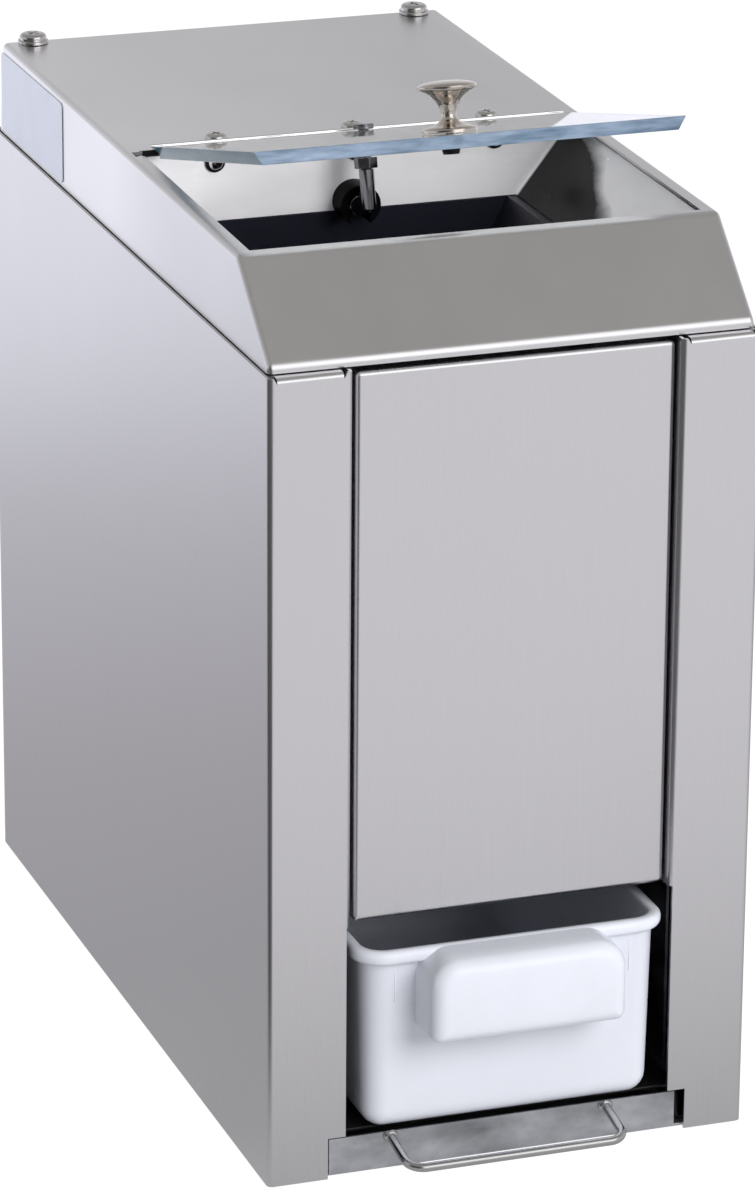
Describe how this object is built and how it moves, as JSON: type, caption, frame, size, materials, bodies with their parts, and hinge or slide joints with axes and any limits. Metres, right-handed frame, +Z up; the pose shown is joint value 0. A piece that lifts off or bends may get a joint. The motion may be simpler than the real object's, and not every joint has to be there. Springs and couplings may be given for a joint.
{
  "type": "countertop ice crusher",
  "caption": "Folded steel ice crusher with a clear hinged lid over its hopper, a claw rotor, a pull-out ice bin and a wire-handled drip tray.",
  "frame": {"origin": "on the ground, in the middle of the whole outline, with the lid standing open as pictured", "axes": "+Z up, -Y towards the user, the side with the bin and the tray handle; +X to the user's right"},
  "size_m": [0.19, 0.4001, 0.4007],
  "materials": {
    "brushed_steel": "stainless sheet, vertical brushing",
    "bright_steel": "stainless sheet, nearly mirror bright",
    "zinc_sheet": "galvanised sheet, dull and mottled",
    "wire_steel": "bent bright wire",
    "hard_steel": "machined stainless steel",
    "bright_fastener": "bright steel",
    "nickel": "polished nickel plate",
    "bearing_bronze": "sintered bronze",
    "cast_aluminium": "die-cast aluminium",
    "motor_paint": "dark satin paint",
    "black_plastic": "black moulded plastic",
    "white_plastic": "white moulded plastic, semi-gloss",
    "clear_acrylic": "clear acrylic sheet with a faint blue edge",
    "rubber": "black rubber"
  },
  "bodies": {
    "casing": {"base_pan": "zinc_sheet", "bin_shelf": "brushed_steel", "cable_gland": "black_plastic", "chassis_bridge": "zinc_sheet", "comb_plate": "hard_steel", "crusher_housing": "black_plastic", "foot_front_left": "rubber", "foot_front_right": "rubber", "foot_rear_left": "rubber", "foot_rear_right": "rubber", "front_bearing": "bearing_bronze", "front_bulkhead": "zinc_sheet", "front_cover": "brushed_steel", "gearbox": "cast_aluminium", "hood_front_screw_left": "bright_fastener", "hood_front_screw_middle": "bright_fastener", "hood_front_screw_right": "bright_fastener", "hood_rear_screw_left": "bright_fastener", "hood_rear_screw_right": "bright_fastener", "hopper": "bright_steel", "hopper_screw_left": "bright_fastener", "hopper_screw_middle": "bright_fastener", "hopper_screw_right": "bright_fastener", "ice_chute": "bright_steel", "interlock_switch": "black_plastic", "left_side_panel": "brushed_steel", "motor": "motor_paint", "power_switch_bezel": "black_plastic", "rear_bearing": "bearing_bronze", "rear_panel": "brushed_steel", "right_side_panel": "brushed_steel", "switch_guard": "black_plastic", "top_hood": "brushed_steel", "tray_rail_left": "zinc_sheet", "tray_rail_right": "zinc_sheet"},
    "lid": {"lid": "clear_acrylic", "lid_knob": "nickel", "knob_screw": "bright_fastener", "interlock_rod": "bright_fastener", "interlock_nut": "bright_fastener", "interlock_spacer": "bright_fastener", "lid_pin_left": "bright_fastener", "lid_pin_right": "bright_fastener"},
    "drip_tray": {"drip_tray": "zinc_sheet", "tray_handle": "wire_steel"},
    "ice_bin": {"ice_bin": "white_plastic"},
    "rotor": {"rotor_shaft": "hard_steel", "rotor_blade_1": "hard_steel", "rotor_blade_2": "hard_steel", "rotor_blade_3": "hard_steel", "rotor_blade_4": "hard_steel", "rotor_blade_5": "hard_steel"},
    "rocker": {"power_switch_rocker": "black_plastic"},
    "plunger": {"switch_plunger": "bright_fastener"}
  },
  "joints": [
    {"name": "lid_hinge", "type": "hinge", "parent": "casing", "child": "lid", "pos_m": [0.0006, 0.00038, 0.35475], "axis": [-1, 0, 0], "range_deg": [-13.6, 80]},
    {"name": "drip_tray_slide", "type": "slide", "parent": "casing", "child": "drip_tray", "axis": [0, -1, 0], "range_m": [0, 0.2]},
    {"name": "ice_bin_slide", "type": "slide", "parent": "casing", "child": "ice_bin", "axis": [0, -1, 0], "range_m": [0, 0.17]},
    {"name": "rotor_spin", "type": "hinge", "parent": "casing", "child": "rotor", "pos_m": [0, -0.04843, 0.241], "axis": [0, 1, 0], "continuous": true},
    {"name": "power_rocker", "type": "hinge", "parent": "casing", "child": "rocker", "pos_m": [-0.055, 0.18457, 0.134], "axis": [1, 0, 0], "range_deg": [-16, 0]},
    {"name": "interlock_plunger", "type": "slide", "parent": "casing", "child": "plunger", "axis": [0, 1, 0], "range_m": [0, 0.003], "stiffness_N_per_m": 300}
  ]
}
